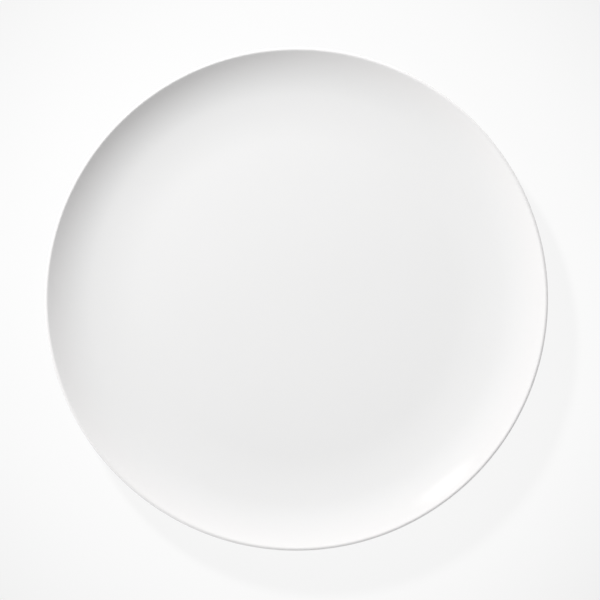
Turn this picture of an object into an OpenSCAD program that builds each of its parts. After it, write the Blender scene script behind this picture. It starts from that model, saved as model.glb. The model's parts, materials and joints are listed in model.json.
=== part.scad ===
// Coupe dinner plate in white glazed porcelain.
// Every body is revolved about Z, and the plate stands on its bare foot at Z = 0.
// The face is level in the middle and sweeps up to a rounded lip with no separate rim.
// Three bodies make the plate: the fired porcelain with its foot ring, the glaze that
// runs over the face, the lip and the flank, and the glaze inside the foot ring.

/* [Plate] */
// Diameter across the lip
plate_d = 270; // [245:1:310]
// Height from the table to the top of the lip
plate_h = 20; // [17:0.5:26]

/* [Face] */
// Diameter of the level well in the middle of the face
well_d = 172; // [145:1:195]
// Share of the sweep's width that its soft entry takes, before the steeper wall
entry_width_share = 0.52; // [0.3:0.02:0.6]
// Slope where the entry meets the wall, as a share of the whole sweep's slope
entry_slope_share = 0.67; // [0.4:0.01:0.8]

/* [Thickness] */
// Thickness of the base under the well, glaze included
base_t = 4.8; // [3.8:0.1:6]
// Thickness of the rounded lip, glaze included
lip_t = 2.4; // [1.8:0.1:3.4]
// Thickness of the fired glaze
glaze_t = 0.3; // [0.2:0.05:0.5]

/* [Foot ring] */
// Distance from the edge of the well in to the outside of the foot ring
foot_inset = 6.5; // [5:0.5:30]
// Height of the foot ring, which is the depth of the recess inside it
foot_h = 3; // [2:0.1:4.5]
// Width of the bare land that stands on the table
land_w = 2.4; // [1.6:0.1:4]
// Radius of the land's bare edges, and the height at which the glaze stops
land_edge_r = 0.8; // [0.4:0.1:1.2]

/* [Smoothness] */
// Largest gap between a true curve and the outline drawn for it
curve_gap = 0.01; // [0.005:0.005:0.05]

/* [Hidden] */

well_r = well_d / 2;
face_z = foot_h + base_t;
lip_r = lip_t / 2;
lip_centre = [plate_d / 2 - lip_r, plate_h - lip_r];
foot_outer_r = well_r - foot_inset;
foot_inner_r = foot_outer_r - land_w - 2 * (land_edge_r + glaze_t);
foot_fillet_r = foot_h - land_edge_r;
turn_steps = 180;
porcelain_colour = [0.90, 0.88, 0.84];
glaze_colour = [0.95, 0.95, 0.95];

// Direction at an angle in degrees, counted from straight down and turning outwards.
function heading(angle) = [sin(angle), -cos(angle)];

function reverse(line) = [for (i = [len(line) - 1 : -1 : 0]) line[i]];

// The points of an arc, without its first one. The arc is drawn at its radius plus grow,
// and the radius alone sets how many points it has, so grown arcs stay in step.
function arc(centre, radius, grow, from, to) =
    let (
        step = 2 * acos(1 - curve_gap / radius),
        count = ceil(abs(to - from) / step)
    )
    [for (i = [1 : count]) centre + (radius + grow) * heading(from + (to - from) * i / count)];

// A sweep of two arcs that leaves start level and ends at end: the soft entry, then the wall.
// It is [entry centre, entry radius, slope at the join, wall centre, wall radius, slope at the end].
function sweep(start, end) =
    let (
        span = end - start,
        join_slope = entry_slope_share * atan2(span[1], span[0]),
        entry_r = entry_width_share * span[0] / sin(join_slope),
        entry_centre = start + [0, entry_r],
        join = entry_centre + entry_r * heading(join_slope),
        chord = end - join,
        end_slope = 2 * atan2(chord[1], chord[0]) - join_slope,
        wall_r = norm(chord) / (2 * sin((end_slope - join_slope) / 2)),
        wall_centre = join - wall_r * heading(join_slope)
    )
    [entry_centre, entry_r, join_slope, wall_centre, wall_r, end_slope];

// Both sweeps run to the middle of the lip, half its thickness inside the face and the flank,
// so that the lip's round end is tangent to the two of them.
face = sweep([well_r, face_z - lip_r], lip_centre);
flank = sweep([well_r, foot_h + lip_r], lip_centre);

// The glazed outside, from the middle of the face over the lip to the outside of the foot,
// drawn in by skin.
function outer_line(skin) = concat(
    [[0, face_z - skin], [well_r, face_z - skin]],
    arc(face[0], face[1] - lip_r, skin, 0, face[2]),
    arc(face[3], face[4] - lip_r, skin, face[2], face[5]),
    arc(lip_centre, lip_r, -skin, 180 + face[5], flank[5]),
    arc(flank[3], flank[4] + lip_r, -skin, flank[5], flank[2]),
    arc(flank[0], flank[1] + lip_r, -skin, flank[2], 0),
    [[foot_outer_r + foot_fillet_r, foot_h + skin]],
    arc([foot_outer_r + foot_fillet_r, land_edge_r], foot_fillet_r, skin, 180, 270)
);

// The bare land under the foot, from its outer edge to just short of its inner one.
function land_line() = concat(
    arc([foot_outer_r - glaze_t - land_edge_r, land_edge_r], land_edge_r, 0, 90, 0),
    reverse(arc([foot_inner_r + glaze_t + land_edge_r, land_edge_r], land_edge_r, 0, -90, 0))
);

// The glazed recess, from the inside of the foot to the middle of the base, drawn in by skin.
function base_line(skin) = concat(
    [[foot_inner_r + skin, land_edge_r]],
    arc([foot_inner_r - foot_fillet_r, land_edge_r], foot_fillet_r, skin, 90, 180),
    [[0, foot_h + skin]]
);

module revolved(outline) {
    rotate_extrude($fn = turn_steps) polygon(outline);
}

module porcelain_body() {
    color(porcelain_colour)
        revolved(concat(outer_line(glaze_t), land_line(), base_line(glaze_t)));
}

module outer_glaze() {
    color(glaze_colour)
        revolved(concat(outer_line(0), reverse(outer_line(glaze_t))));
}

module base_glaze() {
    color(glaze_colour)
        revolved(concat(base_line(0), reverse(base_line(glaze_t))));
}

porcelain_body();
outer_glaze();
base_glaze();
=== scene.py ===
"""The looks of a coupe dinner plate in white glazed porcelain, seen from straight above."""
import json
import math
from collections import namedtuple

import bmesh
import bpy
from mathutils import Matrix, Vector


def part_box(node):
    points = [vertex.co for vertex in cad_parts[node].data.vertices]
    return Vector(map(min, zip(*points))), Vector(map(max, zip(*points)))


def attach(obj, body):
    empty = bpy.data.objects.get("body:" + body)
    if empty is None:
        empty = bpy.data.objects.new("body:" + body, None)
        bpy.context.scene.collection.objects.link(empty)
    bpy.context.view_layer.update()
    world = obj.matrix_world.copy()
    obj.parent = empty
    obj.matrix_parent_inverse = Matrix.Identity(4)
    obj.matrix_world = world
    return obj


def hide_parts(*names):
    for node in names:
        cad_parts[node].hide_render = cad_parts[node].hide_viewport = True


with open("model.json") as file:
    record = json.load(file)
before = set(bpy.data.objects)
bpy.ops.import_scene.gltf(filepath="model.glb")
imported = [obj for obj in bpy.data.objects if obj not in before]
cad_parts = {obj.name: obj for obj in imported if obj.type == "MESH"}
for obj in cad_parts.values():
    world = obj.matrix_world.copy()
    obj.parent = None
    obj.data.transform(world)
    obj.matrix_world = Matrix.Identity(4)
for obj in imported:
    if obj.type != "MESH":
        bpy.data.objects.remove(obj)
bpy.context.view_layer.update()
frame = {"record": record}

MM = 0.001

# Sizes of the plate, in metres. What the frame tells is read from it.
glaze_low, glaze_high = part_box("outer_glaze")
base_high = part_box("base_glaze")[1]
mounts = {mount["name"]: mount for mount in frame["record"]["mounts"]}
PLATE_R = (glaze_high.x - glaze_low.x) / 2
PLATE_H = glaze_high.z
FACE_Z = mounts["well_face"]["pos_m"][2]
LAND_MID_R = mounts["foot_land"]["pos_m"][0]
LAND_EDGE_R = glaze_low.z
GLAZE_T = 0.3 * MM
FOOT_H = base_high.z - GLAZE_T
LAND_W = 2.4 * MM
LIP_R = 1.2 * MM
WELL_R = 86 * MM
ENTRY_WIDTH_SHARE = 0.52
ENTRY_SLOPE_SHARE = 0.67
LIP_CENTRE = Vector((PLATE_R - LIP_R, PLATE_H - LIP_R))
FOOT_HALF_W = LAND_W / 2 + LAND_EDGE_R + GLAZE_T
FOOT_OUTER_R = LAND_MID_R + FOOT_HALF_W
FOOT_INNER_R = LAND_MID_R - FOOT_HALF_W
FOOT_FILLET_R = FOOT_H - LAND_EDGE_R

# How finely the pieces are revolved: steps in a turn, the largest gaps between an arc and its chords
# where it shows, where it is hidden and where the glaze ends, and the widest ring on a level stretch
TURN_STEPS = 240
SHOWN_GAP = 0.002 * MM
HIDDEN_GAP = 0.02 * MM
ROLL_GAP = 0.0005 * MM
RING_W = 3 * MM

QUARTER_TURN = math.pi / 2
HALF_TURN = math.pi


def heading(angle):
    """Direction in the (radius, height) plane, from straight down and turning outwards."""
    return Vector((math.sin(angle), -math.cos(angle)))


def arc(centre, radius, grow, start, end, gap):
    """Points of an arc after its first one, drawn at radius + grow.

    The radius alone sets how many points it has: at that radius no chord is further than gap from it.
    """
    step = 2 * math.acos(1 - gap / radius)
    count = math.ceil(abs(end - start) / step)
    angles = [start + (end - start) * i / count for i in range(1, count + 1)]
    return [centre + (radius + grow) * heading(angle) for angle in angles]


def level(start_r, end_r, z, width):
    """Points of a level stretch from start_r to end_r, in rings no wider than width."""
    count = math.ceil(abs(end_r - start_r) / width)
    return [Vector((start_r + (end_r - start_r) * i / count, z)) for i in range(count + 1)]


Sweep = namedtuple("Sweep", "entry_centre entry_r join_slope wall_centre wall_r end_slope")


def sweep(start, end):
    """Two tangent arcs that leave start level and reach end: the soft entry, then the wall."""
    span = end - start
    join_slope = ENTRY_SLOPE_SHARE * math.atan2(span.y, span.x)
    entry_r = ENTRY_WIDTH_SHARE * span.x / math.sin(join_slope)
    entry_centre = start + Vector((0, entry_r))
    join = entry_centre + entry_r * heading(join_slope)
    chord = end - join
    end_slope = 2 * math.atan2(chord.y, chord.x) - join_slope
    wall_r = chord.length / (2 * math.sin((end_slope - join_slope) / 2))
    wall_centre = join - wall_r * heading(join_slope)
    return Sweep(entry_centre, entry_r, join_slope, wall_centre, wall_r, end_slope)


# Both sweeps run to the middle of the lip, half its thickness inside the face and the flank.
FACE = sweep(Vector((WELL_R, FACE_Z - LIP_R)), LIP_CENTRE)
FLANK = sweep(Vector((WELL_R, FOOT_H + LIP_R)), LIP_CENTRE)


def outer_line(skin, gap, ring):
    """The glazed outside from the middle of the face to the outside of the foot, drawn in by skin."""
    fillet_centre = Vector((FOOT_OUTER_R + FOOT_FILLET_R, LAND_EDGE_R))
    return [
        *level(0, WELL_R, FACE_Z - skin, ring),
        *arc(FACE.entry_centre, FACE.entry_r - LIP_R, skin, 0, FACE.join_slope, gap),
        *arc(FACE.wall_centre, FACE.wall_r - LIP_R, skin, FACE.join_slope, FACE.end_slope, gap),
        *arc(LIP_CENTRE, LIP_R, -skin, HALF_TURN + FACE.end_slope, FLANK.end_slope, gap),
        *arc(FLANK.wall_centre, FLANK.wall_r + LIP_R, -skin, FLANK.end_slope, FLANK.join_slope, gap),
        *arc(FLANK.entry_centre, FLANK.entry_r + LIP_R, -skin, FLANK.join_slope, 0, gap),
        *level(WELL_R, fillet_centre.x, FOOT_H + skin, ring)[1:],
        *arc(fillet_centre, FOOT_FILLET_R, skin, HALF_TURN, HALF_TURN + QUARTER_TURN, gap),
    ]


def land_line(gap):
    """The bare land under the foot, from its outer edge to just short of its inner one."""
    outer = Vector((LAND_MID_R + LAND_W / 2, LAND_EDGE_R))
    inner = Vector((LAND_MID_R - LAND_W / 2, LAND_EDGE_R))
    outer_edge = arc(outer, LAND_EDGE_R, 0, QUARTER_TURN, 0, gap)
    inner_edge = arc(inner, LAND_EDGE_R, 0, -QUARTER_TURN, 0, gap)
    return outer_edge + inner_edge[::-1]


def base_line(skin, gap, ring):
    """The glazed recess from the inside of the foot to the middle of the base, drawn in by skin."""
    fillet_centre = Vector((FOOT_INNER_R - FOOT_FILLET_R, LAND_EDGE_R))
    return [
        Vector((FOOT_INNER_R + skin, LAND_EDGE_R)),
        *arc(fillet_centre, FOOT_FILLET_R, skin, QUARTER_TURN, HALF_TURN, gap),
        *level(fillet_centre.x, 0, FOOT_H + skin, ring)[1:],
    ]


def rolled_end(radius):
    """The glaze's rounded end at the land, between its outer and its inner side."""
    centre = Vector((radius, LAND_EDGE_R))
    return arc(centre, GLAZE_T / 2, 0, QUARTER_TURN, -QUARTER_TURN, ROLL_GAP)[:-1]


def in_scene(name, data):
    """A new object in the scene that shows a mesh, a camera or a light."""
    thing = bpy.data.objects.new(name, data)
    bpy.context.scene.collection.objects.link(thing)
    return thing


def mesh_object(name, mesh):
    """A new object in the scene with a finished mesh."""
    data = bpy.data.meshes.new(name)
    mesh.to_mesh(data)
    mesh.free()
    return in_scene(name, data)


def turned(mesh, point):
    """The ring of vertices that a point of an outline leaves, or one vertex if it is on the axis."""
    if point.x < SHOWN_GAP:
        return [mesh.verts.new((0, 0, point.y))]
    turns = [2 * math.pi * i / TURN_STEPS for i in range(TURN_STEPS)]
    places = [(point.x * math.cos(turn), point.x * math.sin(turn), point.y) for turn in turns]
    return [mesh.verts.new(place) for place in places]


def band(mesh, ring, after):
    """The faces between two rings, which are triangles where one of them is a single vertex."""
    if len(ring) == len(after) == 1:
        return
    for i in range(TURN_STEPS):
        corners = [
            ring[i % len(ring)],
            after[i % len(after)],
            after[(i + 1) % len(after)],
            ring[(i + 1) % len(ring)],
        ]
        mesh.faces.new(dict.fromkeys(corners))


def revolved(name, outline):
    """A closed piece made by turning a closed outline about Z."""
    mesh = bmesh.new()
    rings = [turned(mesh, point) for point in outline]
    for ring, after in zip(rings, rings[1:] + rings[:1]):
        band(mesh, ring, after)
    bmesh.ops.recalc_face_normals(mesh, faces=mesh.faces)
    piece = mesh_object(name, mesh)
    piece.data.shade_smooth()
    return piece


# Places of the sockets for colours in a Mix node, whose names aren't unique
MIX_FACTOR = 0
MIX_FIRST = 6
MIX_SECOND = 7
MIX_RESULT = 2


class Shader:
    """The nodes of a material, a light or a world, with short calls to add nodes and join them."""

    def __init__(self, owner, end, place, kind="ShaderNodeTexCoord"):
        owner.use_nodes = True
        self.owner = owner
        self.tree = owner.node_tree
        self.end = self.tree.nodes[end]
        self.place = self.add(kind).outputs[place]

    def add(self, kind, links=None, **settings):
        """A node with its sockets linked or set by name, and its own settings by keyword."""
        node = self.tree.nodes.new(kind)
        for key, value in settings.items():
            setattr(node, key, value)
        for socket, value in (links or {}).items():
            self.put(node, socket, value)
        return node

    def put(self, node, socket, value):
        """Links a node's input to another node's output, or sets it to a value."""
        field = node.inputs[socket]
        if isinstance(value, bpy.types.NodeSocket):
            self.tree.links.new(value, field)
        elif field.type == "RGBA":
            field.default_value = (*value, 1)
        else:
            field.default_value = value

    def noise(self, size, detail=2):
        """Noise from 0 to 1 with features of about that size, in metres."""
        links = {"Vector": self.place, "Scale": 1 / size, "Detail": detail}
        return self.add("ShaderNodeTexNoise", links).outputs["Fac"]

    def rings(self, width, detail=1):
        """Noise from 0 to 1 in rings of about that width round the plate's axis."""
        links = {"W": self.radius(), "Scale": 1 / width, "Detail": detail}
        return self.add("ShaderNodeTexNoise", links, noise_dimensions="1D").outputs["Fac"]

    def vectors(self, operation, *vectors):
        """The node that works something out from vectors."""
        return self.add("ShaderNodeVectorMath", dict(enumerate(vectors)), operation=operation)

    def radius(self):
        """Distance from the plate's axis."""
        flat = self.vectors("MULTIPLY", self.place, (1, 1, 0)).outputs["Vector"]
        return self.vectors("LENGTH", flat).outputs["Value"]

    def height(self):
        """Height above the table, or above the horizon in a world."""
        return self.add("ShaderNodeSeparateXYZ", {"Vector": self.place}).outputs["Z"]

    def math(self, operation, *numbers):
        """A number worked out from others."""
        return self.add("ShaderNodeMath", dict(enumerate(numbers)), operation=operation).outputs["Value"]

    def between(self, factor, low, high, from_low=0, from_high=1):
        """A number that eases from low to high as factor goes from from_low to from_high."""
        links = {
            "Value": factor,
            "From Min": from_low,
            "From Max": from_high,
            "To Min": low,
            "To Max": high,
        }
        return self.add("ShaderNodeMapRange", links, interpolation_type="SMOOTHSTEP").outputs["Result"]

    def mixed(self, factor, first, second):
        """A colour between two colours."""
        links = {MIX_FACTOR: factor, MIX_FIRST: first, MIX_SECOND: second}
        return self.add("ShaderNodeMix", links, data_type="RGBA").outputs[MIX_RESULT]

    def bumped(self, height, depth, normal=None):
        """A normal from a height of 0 to 1 that stands for depth in metres, over another normal."""
        links = {"Height": height, "Distance": depth, "Strength": 1}
        if normal is not None:
            links["Normal"] = normal
        return self.add("ShaderNodeBump", links).outputs["Normal"]


def surface(name):
    """The nodes of a new material."""
    return Shader(bpy.data.materials.new(name), "Principled BSDF", "Object")


# The glaze. Its mottle lies between two whites. It pools round the foot, up to the foot's height,
# and thins towards the lip, between two heights.
MOTTLE_SIZE = 60 * MM
MOTTLE_TONES = ((0.821, 0.82, 0.819), (0.834, 0.833, 0.832))
POOLED_TONE = (0.79, 0.8, 0.8)
THINNED_TONE = (0.822, 0.814, 0.812)
THINNED_Z = (FACE_Z + 3 * MM, PLATE_H - 2 * LIP_R)
RIPPLE_SIZE = 11 * MM
RIPPLE_DEPTH = 0.012 * MM
TURNING_W = 5 * MM
TURNING_DEPTH = 0.002 * MM
PITTING_SIZE = 1.2 * MM
PITTING_DEPTH = 0.0004 * MM
GLOSS_PATCH_SIZE = 25 * MM
GLAZE_ROUGHNESS = (0.05, 0.09)
GLAZE_IOR = 1.5


def glaze():
    """Clear glossy glaze over white porcelain, thick round the foot and thin over the lip."""
    shader = surface("white_glaze")
    white = shader.mixed(shader.noise(MOTTLE_SIZE), *MOTTLE_TONES)
    thinned = shader.between(shader.height(), 0, 1, *THINNED_Z)
    pooled = shader.between(shader.height(), 1, 0, LAND_EDGE_R, FOOT_H)
    upper_tone = shader.mixed(thinned, white, THINNED_TONE)
    gloss_patches = shader.noise(GLOSS_PATCH_SIZE, detail=4)
    ripples = shader.bumped(shader.noise(RIPPLE_SIZE, detail=1), RIPPLE_DEPTH)
    turning = shader.bumped(shader.rings(TURNING_W), TURNING_DEPTH, ripples)
    pitting = shader.bumped(shader.noise(PITTING_SIZE, detail=1), PITTING_DEPTH, turning)
    shader.put(shader.end, "Base Color", shader.mixed(pooled, upper_tone, POOLED_TONE))
    shader.put(shader.end, "Roughness", shader.between(gloss_patches, *GLAZE_ROUGHNESS))
    shader.put(shader.end, "Normal", pitting)
    shader.put(shader.end, "IOR", GLAZE_IOR)
    return shader.owner


# The bare porcelain. Its scuffs follow the grinding lines, in patches, where the product of the two
# noises passes SCUFF_EDGE.
GRAIN_SIZE = 0.35 * MM
GRAIN_DEPTH = 0.006 * MM
GRAIN_TONES = ((0.72, 0.69, 0.64), (0.8, 0.78, 0.74))
BARE_ROUGHNESS = (0.5, 0.7)
GRINDING_W = 0.12 * MM
GRINDING_DEPTH = 0.002 * MM
SCUFF_PATCH_SIZE = 6 * MM
SCUFF_EDGE = (0.28, 0.42)
SCUFF_STRENGTH = 0.6
SCUFF_TONE = (0.5, 0.49, 0.47)


def bare_porcelain():
    """Fired porcelain without glaze, ground and a little scuffed on the land."""
    shader = surface("bare_porcelain")
    grain = shader.noise(GRAIN_SIZE, detail=3)
    lines = shader.rings(GRINDING_W, detail=2)
    worn = shader.math("MULTIPLY", lines, shader.noise(SCUFF_PATCH_SIZE))
    scuffs = shader.between(worn, 0, SCUFF_STRENGTH, *SCUFF_EDGE)
    clean_tone = shader.mixed(grain, *GRAIN_TONES)
    ground = shader.bumped(lines, GRINDING_DEPTH)
    shader.put(shader.end, "Base Color", shader.mixed(scuffs, clean_tone, SCUFF_TONE))
    shader.put(shader.end, "Roughness", shader.between(grain, *BARE_ROUGHNESS))
    shader.put(shader.end, "Normal", shader.bumped(grain, GRAIN_DEPTH, ground))
    return shader.owner


def dressed(piece, node, material):
    """Gives a piece its material, and its place among the bodies, nodes and slots."""
    piece.data.materials.append(material)
    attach(piece, "root")
    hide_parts(node)


def plate():
    """The porcelain and its two coats of glaze."""
    hidden_outer = outer_line(GLAZE_T, HIDDEN_GAP, PLATE_R)
    hidden_base = base_line(GLAZE_T, HIDDEN_GAP, PLATE_R)
    outer_end = rolled_end(FOOT_OUTER_R - GLAZE_T / 2)
    inner_end = rolled_end(FOOT_INNER_R + GLAZE_T / 2)
    porcelain = revolved("fired_porcelain", hidden_outer + land_line(SHOWN_GAP) + hidden_base)
    outer_coat = revolved(
        "outer_glaze_coat",
        outer_line(0, SHOWN_GAP, RING_W) + outer_end + hidden_outer[::-1],
    )
    base_coat = revolved(
        "base_glaze_coat",
        base_line(0, SHOWN_GAP, RING_W) + hidden_base[::-1] + inner_end,
    )
    white = glaze()
    dressed(porcelain, "porcelain_body", bare_porcelain())
    dressed(outer_coat, "outer_glaze", white)
    dressed(base_coat, "base_glaze", white)


# The photograph's frame is 600 pixels square. PLATE_PX is the plate's width in it, and CENTRE_PX
# is the plate's centre from the frame's, right and up. CAMERA_H is in metres.
FRAME_PX = 600
PLATE_PX = 503.5
CENTRE_PX = Vector((-3.7, 1.05))
CAMERA_H = 1.3


def camera():
    """Looks straight down, with +Y up in the picture."""
    pixel = 2 * PLATE_R / PLATE_PX
    data = bpy.data.cameras.new("camera")
    data.lens = data.sensor_width * (CAMERA_H - LIP_CENTRE.y) / (FRAME_PX * pixel)
    eye = in_scene("camera", data)
    eye.location = (-CENTRE_PX.x * pixel, -CENTRE_PX.y * pixel, CAMERA_H)
    bpy.context.scene.camera = eye


# The floor glows with painted light, not a lamp, so that shadows on it stay faint. The glow rises from a
# low value beneath the plate, a painted contact shadow, to its full value at the rim, which lifts the
# plate's cast shadow, and falls again to a share of that further off, a painted pool of light. Radii are
# in metres.
FLOOR_R = 12.0
FLOOR_TONES = ((0.12, 0.12, 0.12), (0.1236, 0.1236, 0.1236))
FLOOR_GRAIN_SIZE = 2 * MM
FLOOR_ROUGHNESS = 0.8
FLOOR_SPECULAR = 0.1
PAINTED_SHADOW_UNDER_PLATE = 0.25
PAINTED_GLOW_ROUND = 0.84
PAINTED_GLOW_FAR = 0.8
PAINTED_SHADOW_EDGE = (PLATE_R - 38 * MM, PLATE_R + 2 * MM)
PAINTED_GLOW_FADE = (0.13, 0.34)
WHITE = (1, 1, 1)


def floor():
    """A pale floor whose glow is painted light: dim beneath the plate as a painted contact shadow,
    brightest round the plate.
    """
    mesh = bmesh.new()
    bmesh.ops.create_circle(mesh, cap_ends=True, segments=TURN_STEPS, radius=FLOOR_R)
    sheet = mesh_object("floor", mesh)
    shader = surface("floor_with_painted_glow")
    radius = shader.radius()
    # Painted contact shadow beneath the plate, rising to a painted ring of light round the rim.
    painted_shadow_and_glow = shader.between(radius, PAINTED_SHADOW_UNDER_PLATE, PAINTED_GLOW_ROUND, *PAINTED_SHADOW_EDGE)
    # A painted pool of light, fading away from the plate.
    painted_glow_falloff = shader.between(radius, 1, PAINTED_GLOW_FAR, *PAINTED_GLOW_FADE)
    shader.put(shader.end, "Base Color", shader.mixed(shader.noise(FLOOR_GRAIN_SIZE), *FLOOR_TONES))
    shader.put(shader.end, "Emission Strength", shader.math("MULTIPLY", painted_shadow_and_glow, painted_glow_falloff))
    shader.put(shader.end, "Emission Color", WHITE)
    shader.put(shader.end, "Roughness", FLOOR_ROUGHNESS)
    shader.put(shader.end, "Specular IOR Level", FLOOR_SPECULAR)
    sheet.data.materials.append(shader.owner)


# The key light, at the upper left of the picture. A way is an azimuth from +X towards +Y and an
# elevation, in degrees. Distances and sizes are in metres, and powers in watts.
KEY_DISTANCE = 1.7
LAMP_WAY = (123, 34.5)
LAMP_SIZE = (0.2, 0.2)
LAMP_POWER = 22.7
DIFFUSER_WAY = (129, 36.5)
DIFFUSER_SIZE = (0.57, 0.82)
DIFFUSER_POWER = 3.3

# A lamp's own coordinates run from 0 to 1 across it
LAMP_MIDDLE = (0.5, 0.5, 0)
LAMP_EDGE = 0.5


def softbox(name, way, size, power):
    """An oval part of the key light, facing the plate."""
    azimuth, elevation = (math.radians(angle) for angle in way)
    data = bpy.data.lights.new(name, "AREA")
    data.shape = "ELLIPSE"
    data.size, data.size_y = size
    data.energy = power
    light = in_scene(name, data)
    flat = math.cos(elevation)
    light.location = (flat * math.cos(azimuth), flat * math.sin(azimuth), math.sin(elevation))
    light.location *= KEY_DISTANCE
    light.rotation_euler = light.location.to_track_quat("Z", "Y").to_euler()
    light.visible_camera = False
    return light


def faded(light):
    """Makes a softbox fade from its middle to its edge."""
    fade = Shader(light.data, "Emission", "Parametric", "ShaderNodeNewGeometry")
    away = fade.vectors("DISTANCE", fade.place, LAMP_MIDDLE).outputs["Value"]
    fade.put(fade.end, "Strength", fade.between(away, 1, 0, 0, LAMP_EDGE))


def key_light():
    """A lamp that shows in the gloss only as the soft diffuser in front of it."""
    lamp = softbox("lamp", LAMP_WAY, LAMP_SIZE, LAMP_POWER)
    lamp.visible_glossy = False
    faded(softbox("diffuser", DIFFUSER_WAY, DIFFUSER_SIZE, DIFFUSER_POWER))


# The light of the room, from a wall at WALL_AZIMUTH, in degrees, the wall that faces it and the ceiling.
# Their light falls off with a power of the cosine. HORIZON_TOP is the sine of an elevation.
WALL_AZIMUTH = 228
WALL_LIGHT = 1.88
FAR_WALL_LIGHT = 1.39
WALL_FALL = 3
CEILING_LIGHT = 0.49
CEILING_FALL = 2
ROOM_LIGHT = 0.06
HORIZON_LIGHT = 0.76
HORIZON_TOP = 0.08


def room_light():
    """Light from all round, stronger from two facing walls and from above, over an even horizon."""
    room = Shader(bpy.data.worlds.new("room"), "Background", "Generated")
    azimuth = math.radians(WALL_AZIMUTH)
    wall = Vector((math.cos(azimuth), math.sin(azimuth), 0))
    ceiling = Vector((0, 0, 1))
    sources = (
        (wall, WALL_FALL, WALL_LIGHT),
        (-wall, WALL_FALL, FAR_WALL_LIGHT),
        (ceiling, CEILING_FALL, CEILING_LIGHT),
    )
    light = ROOM_LIGHT
    for way, fall, strength in sources:
        facing = room.vectors("DOT_PRODUCT", room.place, way).outputs["Value"]
        lobe = room.math("POWER", room.math("MAXIMUM", facing, 0), fall)
        light = room.math("MULTIPLY_ADD", lobe, strength, light)
    room.put(room.end, "Strength", room.between(room.height(), HORIZON_LIGHT, light, 0, HORIZON_TOP))
    room.put(room.end, "Color", WHITE)
    bpy.context.scene.world = room.owner


plate()
camera()
floor()
key_light()
room_light()
bpy.context.scene.view_settings.view_transform = "Standard"
